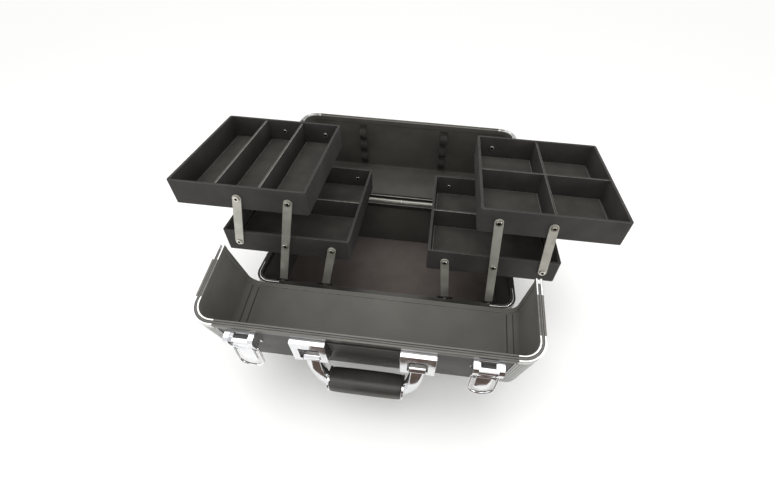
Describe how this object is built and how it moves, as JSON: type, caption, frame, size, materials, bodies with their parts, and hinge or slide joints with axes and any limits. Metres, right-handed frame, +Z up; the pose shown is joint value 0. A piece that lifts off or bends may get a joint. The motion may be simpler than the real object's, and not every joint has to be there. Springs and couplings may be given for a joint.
{
  "type": "makeup train case",
  "caption": "Hard makeup train case standing open, with two swinging lids, tiered trays on folding riveted arms, draw latches and a carrying handle.",
  "frame": {"origin": "middle of the base's underside, on the surface it stands on", "axes": "+Z up, +X to the right along the case's width, -Y toward the front lid with the handle and latches"},
  "size_m": [0.5294, 0.4292, 0.2437],
  "materials": {
    "black_panel": "fine-grained satin sheet",
    "wall_lining": "flocked cloth on board",
    "floor_felt": "brown-grey felt",
    "bright_frame": "bright rolled section",
    "dark_frame": "satin black",
    "chrome_fitting": "polished plating",
    "black_bracket": "satin black",
    "rivet_steel": "dull plated",
    "arm_steel": "plated strip",
    "tray_plastic": "satin moulded",
    "grip_plastic": "satin moulded",
    "strap_elastic": "woven elastic"
  },
  "bodies": {
    "base": {"base_bottom_panel": "black_panel", "base_walls": "black_panel", "base_lining": "wall_lining", "base_floor_pad": "floor_felt", "base_rim_frame": "dark_frame", "base_bottom_trim": "bright_frame", "base_corner_caps": "chrome_fitting", "arm_brackets": "black_bracket", "base_arm_rivets": "rivet_steel", "base_hinge_leaves": "arm_steel", "hinge_pins": "arm_steel", "base_hinge_rivets": "rivet_steel"},
    "front_lid": {"front_lid_shell": "black_panel", "front_lid_lining": "wall_lining", "front_lid_seat_frame": "dark_frame", "front_lid_corner_caps": "chrome_fitting", "front_lid_hinge_leaves": "arm_steel", "front_lid_hinge_rivets": "rivet_steel", "front_lid_lip_frame": "bright_frame", "handle_brackets": "chrome_fitting", "handle_pins": "chrome_fitting", "handle_base_strip": "grip_plastic", "latch_plates": "chrome_fitting", "latch_pins": "chrome_fitting"},
    "rear_lid": {"rear_lid_shell": "black_panel", "rear_lid_lining": "wall_lining", "rear_lid_seat_frame": "dark_frame", "rear_lid_corner_caps": "chrome_fitting", "rear_lid_hinge_leaves": "arm_steel", "rear_lid_hinge_rivets": "rivet_steel", "rear_lid_lip_frame": "bright_frame", "latch_strikes": "chrome_fitting", "left_brush_strap": "strap_elastic", "right_brush_strap": "strap_elastic"},
    "carry_handle": {"handle_arms": "chrome_fitting", "handle_grip": "grip_plastic"},
    "left_lever": {"left_latch_lever": "chrome_fitting"},
    "left_bail": {"left_latch_bail": "chrome_fitting"},
    "right_lever": {"right_latch_lever": "chrome_fitting"},
    "right_bail": {"right_latch_bail": "chrome_fitting"},
    "left_long_arms": {"left_long_arms": "arm_steel"},
    "left_lower_tray": {"left_lower_tray": "tray_plastic", "left_lower_divider": "tray_plastic", "left_lower_rivets": "rivet_steel"},
    "left_upper_tray": {"left_upper_tray": "tray_plastic", "left_upper_dividers": "tray_plastic", "left_upper_rivets": "rivet_steel"},
    "left_inner_arms": {"left_inner_arms": "arm_steel"},
    "left_outer_arms": {"left_outer_arms": "arm_steel"},
    "right_long_arms": {"right_long_arms": "arm_steel"},
    "right_lower_tray": {"right_lower_tray": "tray_plastic", "right_lower_divider": "tray_plastic", "right_lower_rivets": "rivet_steel"},
    "right_upper_tray": {"right_upper_tray": "tray_plastic", "right_upper_dividers": "tray_plastic", "right_upper_rivets": "rivet_steel"},
    "right_inner_arms": {"right_inner_arms": "arm_steel"},
    "right_outer_arms": {"right_outer_arms": "arm_steel"}
  },
  "joints": [
    {"name": "front_lid", "type": "hinge", "parent": "base", "child": "front_lid", "pos_m": [0, -0.1052, 0.092], "axis": [-1, 0, 0], "range_deg": [0, 22]},
    {"name": "rear_lid", "type": "hinge", "parent": "base", "child": "rear_lid", "pos_m": [0, 0.1052, 0.092], "axis": [1, 0, 0], "range_deg": [-17, 6]},
    {"name": "handle_swing", "type": "hinge", "parent": "front_lid", "child": "carry_handle", "pos_m": [0, -0.21711, 0.12542], "axis": [-1, 0, 0], "range_deg": [-5, 90]},
    {"name": "left_lever", "type": "hinge", "parent": "front_lid", "child": "left_lever", "pos_m": [-0.127, -0.22255, 0.14725], "axis": [-1, 0, 0], "range_deg": [-10, 75]},
    {"name": "left_bail", "type": "hinge", "parent": "left_lever", "child": "left_bail", "pos_m": [-0.127, -0.22255, 0.13825], "axis": [-1, 0, 0], "range_deg": [-8, 80]},
    {"name": "right_lever", "type": "hinge", "parent": "front_lid", "child": "right_lever", "pos_m": [0.127, -0.22255, 0.14725], "axis": [-1, 0, 0], "range_deg": [-10, 75]},
    {"name": "right_bail", "type": "hinge", "parent": "right_lever", "child": "right_bail", "pos_m": [0.127, -0.22255, 0.13825], "axis": [-1, 0, 0], "range_deg": [-8, 80]},
    {"name": "left_fold", "type": "hinge", "parent": "base", "child": "left_long_arms", "pos_m": [-0.147, 0, 0.079], "axis": [0, 1, 0], "range_deg": [-7, 42.5]},
    {"name": "left_lower_level", "type": "hinge", "parent": "left_long_arms", "child": "left_lower_tray", "pos_m": [-0.12999, 0, 0.15153], "axis": [0, 1, 0], "range_deg": [-42.5, 7]},
    {"name": "left_upper_level", "type": "hinge", "parent": "left_long_arms", "child": "left_upper_tray", "pos_m": [-0.11298, 0, 0.22406], "axis": [0, 1, 0], "range_deg": [-42.5, 7]},
    {"name": "left_inner_swing", "type": "hinge", "parent": "base", "child": "left_inner_arms", "pos_m": [-0.0855, 0, 0.079], "axis": [0, 1, 0], "range_deg": [-7, 42.5]},
    {"name": "left_outer_swing", "type": "hinge", "parent": "left_lower_tray", "child": "left_outer_arms", "pos_m": [-0.19149, 0, 0.15153], "axis": [0, 1, 0], "range_deg": [-7, 42.5]},
    {"name": "right_fold", "type": "hinge", "parent": "base", "child": "right_long_arms", "pos_m": [0.147, 0, 0.079], "axis": [0, -1, 0], "range_deg": [0, 50]},
    {"name": "right_lower_level", "type": "hinge", "parent": "right_long_arms", "child": "right_lower_tray", "pos_m": [0.13947, 0, 0.15312], "axis": [0, -1, 0], "range_deg": [-50, 0]},
    {"name": "right_upper_level", "type": "hinge", "parent": "right_long_arms", "child": "right_upper_tray", "pos_m": [0.13194, 0, 0.22724], "axis": [0, -1, 0], "range_deg": [-50, 0]},
    {"name": "right_inner_swing", "type": "hinge", "parent": "base", "child": "right_inner_arms", "pos_m": [0.0855, 0, 0.079], "axis": [0, -1, 0], "range_deg": [0, 50]},
    {"name": "right_outer_swing", "type": "hinge", "parent": "right_lower_tray", "child": "right_outer_arms", "pos_m": [0.20097, 0, 0.15312], "axis": [0, -1, 0], "range_deg": [0, 50]}
  ],
  "couplings": [
    {"joint": "left_lower_level", "follows": "left_fold", "ratio": -1},
    {"joint": "left_upper_level", "follows": "left_fold", "ratio": -1},
    {"joint": "left_inner_swing", "follows": "left_fold", "ratio": 1},
    {"joint": "left_outer_swing", "follows": "left_fold", "ratio": 1},
    {"joint": "right_lower_level", "follows": "right_fold", "ratio": -1},
    {"joint": "right_upper_level", "follows": "right_fold", "ratio": -1},
    {"joint": "right_inner_swing", "follows": "right_fold", "ratio": 1},
    {"joint": "right_outer_swing", "follows": "right_fold", "ratio": 1}
  ]
}
